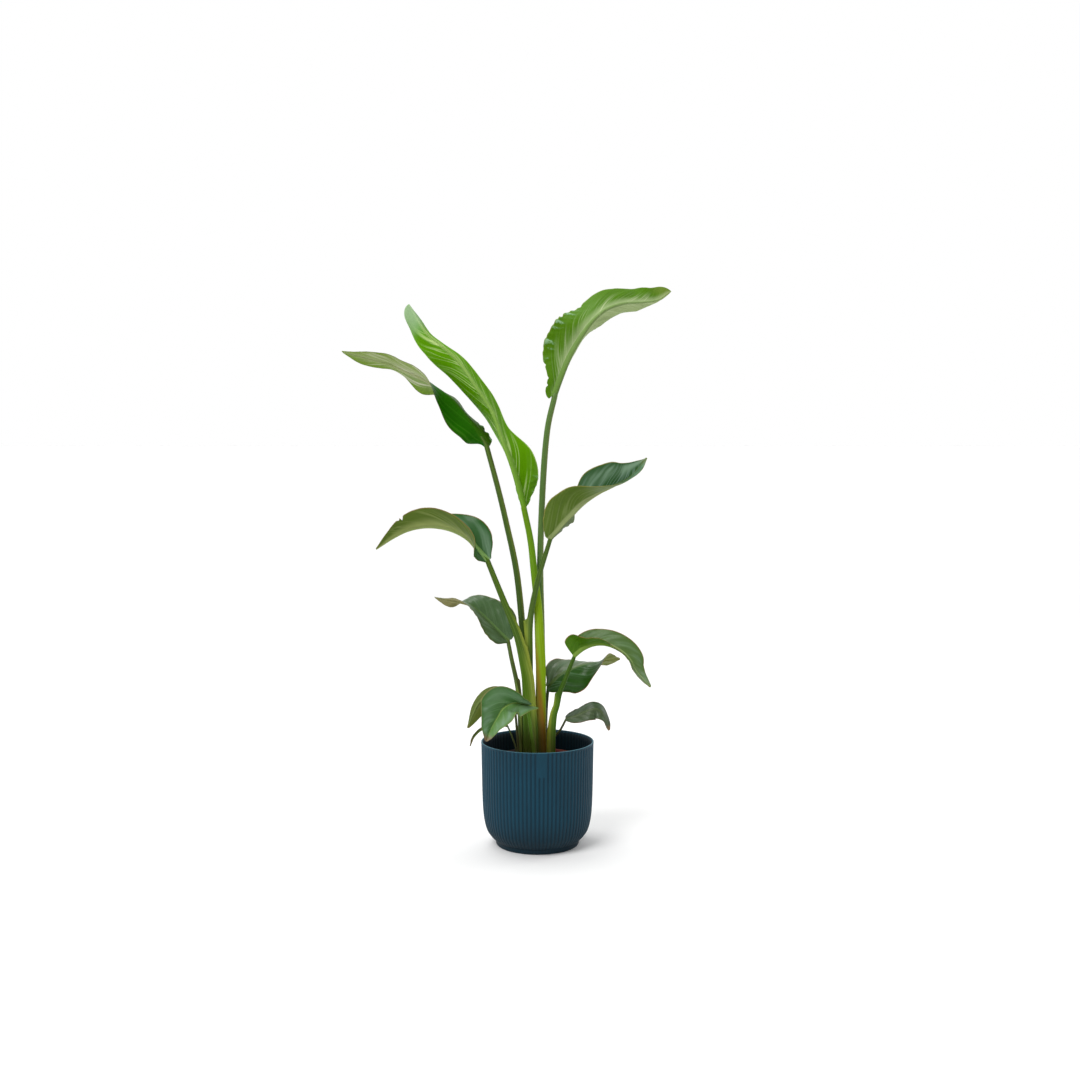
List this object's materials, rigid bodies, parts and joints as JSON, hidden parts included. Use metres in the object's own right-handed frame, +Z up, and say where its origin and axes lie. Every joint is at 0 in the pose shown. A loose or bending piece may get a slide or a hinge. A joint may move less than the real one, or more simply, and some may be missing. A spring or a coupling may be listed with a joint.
{
  "type": "potted bird of paradise",
  "caption": "Tall house plant with long stalks and broad paddle leaves, rooted in a nursery pot of soil that stands inside a ribbed round cover pot.",
  "frame": {"origin": "middle of the cover pot's underside, on the surface that the pot stands on", "axes": "+Z up along the stems, -Y towards the front of the pot, +X to the right as seen from the front"},
  "size_m": [0.6469, 0.2371, 1.0927],
  "materials": {
    "cover_pot": "matt dark blue moulded plastic with fine upright ribs",
    "nursery_pot": "thin matt terracotta-coloured plastic",
    "soil": "moist dark potting mix of peat and bark",
    "leaf": "smooth leathery leaf, satin to glossy, with fine side veins",
    "young_leaf": "fresh yellow-green leaf, satin, with pale side veins"
  },
  "bodies": {
    "root": {"cover_pot": "cover_pot", "nursery_pot": "nursery_pot", "soil": "soil", "leaf_top_right": "leaf", "leaf_top_centre": "young_leaf", "leaf_top_left": "leaf", "leaf_mid_left": "leaf", "leaf_low_left": "leaf", "leaf_mid_right": "leaf", "leaf_low_right": "leaf", "leaf_low_back": "leaf", "leaf_small_right": "leaf", "leaf_low_front": "leaf", "leaf_small_left": "leaf", "leaf_dry_left": "leaf"}
  },
  "joints": []
}
